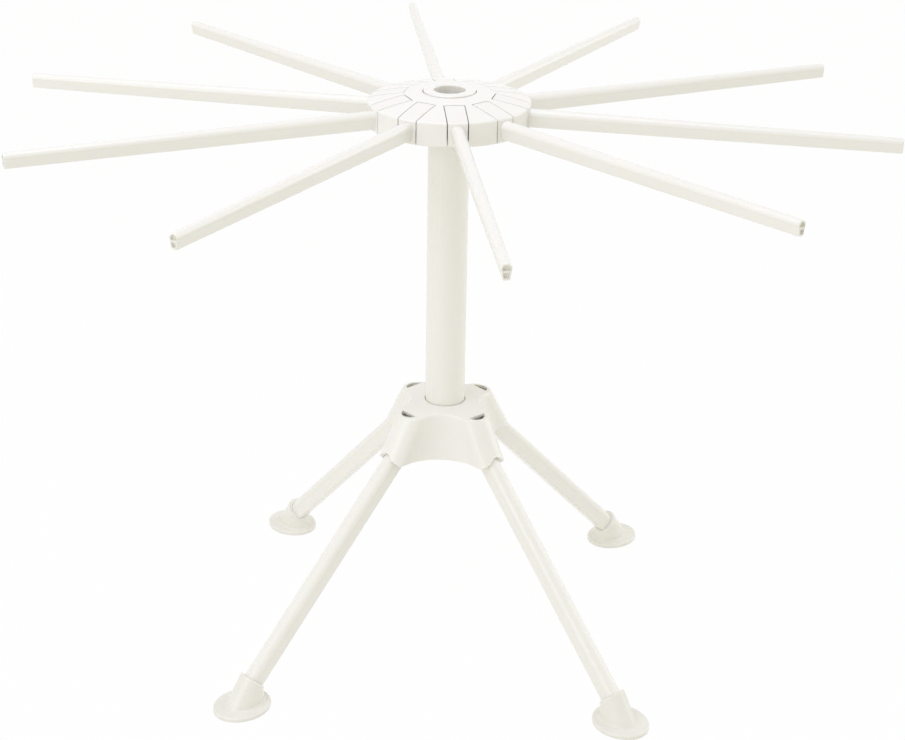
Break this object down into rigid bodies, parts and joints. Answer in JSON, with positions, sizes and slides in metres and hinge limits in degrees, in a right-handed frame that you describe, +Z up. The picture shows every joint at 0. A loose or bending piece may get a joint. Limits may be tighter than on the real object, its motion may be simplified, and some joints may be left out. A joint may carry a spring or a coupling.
{
  "type": "pasta drying rack",
  "caption": "Folding kitchen rack for drying fresh pasta: arms hinged in a domed hub reach out from a tube column on a lobed base with splayed folding legs.",
  "frame": {"origin": "on the surface the rack stands on, under the column's axis", "axes": "+Z up along the column; +Y along the arm opposite the one nearest the picture's camera; +X to the right of that arm"},
  "size_m": [0.4042, 0.4238, 0.2908],
  "materials": {
    "hub_plastic": "moulded ABS, polished ivory white",
    "cap_plastic": "moulded ABS, polished ivory white",
    "column_plastic": "extruded ABS tube, smooth ivory white",
    "base_plastic": "moulded ABS, polished ivory white",
    "arm_plastic": "moulded polystyrene, polished ivory white",
    "leg_plastic": "moulded ABS, polished ivory white",
    "foot_plastic": "moulded ABS, polished ivory white"
  },
  "bodies": {
    "stand": {"base": "base_plastic", "column": "column_plastic", "hub": "hub_plastic", "hub_cap": "cap_plastic"},
    "arm_1": {"arm_1": "arm_plastic"},
    "arm_2": {"arm_2": "arm_plastic"},
    "arm_3": {"arm_3": "arm_plastic"},
    "arm_4": {"arm_4": "arm_plastic"},
    "arm_5": {"arm_5": "arm_plastic"},
    "arm_6": {"arm_6": "arm_plastic"},
    "arm_7": {"arm_7": "arm_plastic"},
    "arm_8": {"arm_8": "arm_plastic"},
    "arm_9": {"arm_9": "arm_plastic"},
    "arm_10": {"arm_10": "arm_plastic"},
    "leg_1": {"leg_1": "leg_plastic", "foot_1": "foot_plastic"},
    "leg_2": {"leg_2": "leg_plastic", "foot_2": "foot_plastic"},
    "leg_3": {"leg_3": "leg_plastic", "foot_3": "foot_plastic"},
    "leg_4": {"leg_4": "leg_plastic", "foot_4": "foot_plastic"}
  },
  "joints": [
    {"name": "arm_1_hinge", "type": "hinge", "parent": "stand", "child": "arm_1", "pos_m": [0, -0.0255, 0.2847], "axis": [-1, 0, 0], "range_deg": [0, 90]},
    {"name": "arm_2_hinge", "type": "hinge", "parent": "stand", "child": "arm_2", "pos_m": [0.01499, -0.02063, 0.2847], "axis": [-0.809, -0.5878, 0], "range_deg": [0, 90]},
    {"name": "arm_3_hinge", "type": "hinge", "parent": "stand", "child": "arm_3", "pos_m": [0.02425, -0.00788, 0.2847], "axis": [-0.309, -0.9511, 0], "range_deg": [0, 90]},
    {"name": "arm_4_hinge", "type": "hinge", "parent": "stand", "child": "arm_4", "pos_m": [0.02425, 0.00788, 0.2847], "axis": [0.309, -0.9511, 0], "range_deg": [0, 90]},
    {"name": "arm_5_hinge", "type": "hinge", "parent": "stand", "child": "arm_5", "pos_m": [0.01499, 0.02063, 0.2847], "axis": [0.809, -0.5878, 0], "range_deg": [0, 90]},
    {"name": "arm_6_hinge", "type": "hinge", "parent": "stand", "child": "arm_6", "pos_m": [0, 0.0255, 0.2847], "axis": [1, 0, 0], "range_deg": [0, 90]},
    {"name": "arm_7_hinge", "type": "hinge", "parent": "stand", "child": "arm_7", "pos_m": [-0.01499, 0.02063, 0.2847], "axis": [0.809, 0.5878, 0], "range_deg": [0, 90]},
    {"name": "arm_8_hinge", "type": "hinge", "parent": "stand", "child": "arm_8", "pos_m": [-0.02425, 0.00788, 0.2847], "axis": [0.309, 0.9511, 0], "range_deg": [0, 90]},
    {"name": "arm_9_hinge", "type": "hinge", "parent": "stand", "child": "arm_9", "pos_m": [-0.02425, -0.00788, 0.2847], "axis": [-0.309, 0.9511, 0], "range_deg": [0, 90]},
    {"name": "arm_10_hinge", "type": "hinge", "parent": "stand", "child": "arm_10", "pos_m": [-0.01499, -0.02063, 0.2847], "axis": [-0.809, 0.5878, 0], "range_deg": [0, 90]},
    {"name": "leg_1_hinge", "type": "hinge", "parent": "stand", "child": "leg_1", "pos_m": [0.01646, 0.01196, 0.1195], "axis": [-0.5878, 0.809, 0], "range_deg": [0, 44]},
    {"name": "leg_2_hinge", "type": "hinge", "parent": "stand", "child": "leg_2", "pos_m": [-0.01196, 0.01646, 0.1195], "axis": [-0.809, -0.5878, 0], "range_deg": [0, 44]},
    {"name": "leg_3_hinge", "type": "hinge", "parent": "stand", "child": "leg_3", "pos_m": [-0.01646, -0.01196, 0.1195], "axis": [0.5878, -0.809, 0], "range_deg": [0, 44]},
    {"name": "leg_4_hinge", "type": "hinge", "parent": "stand", "child": "leg_4", "pos_m": [0.01196, -0.01646, 0.1195], "axis": [0.809, 0.5878, 0], "range_deg": [0, 44]}
  ]
}
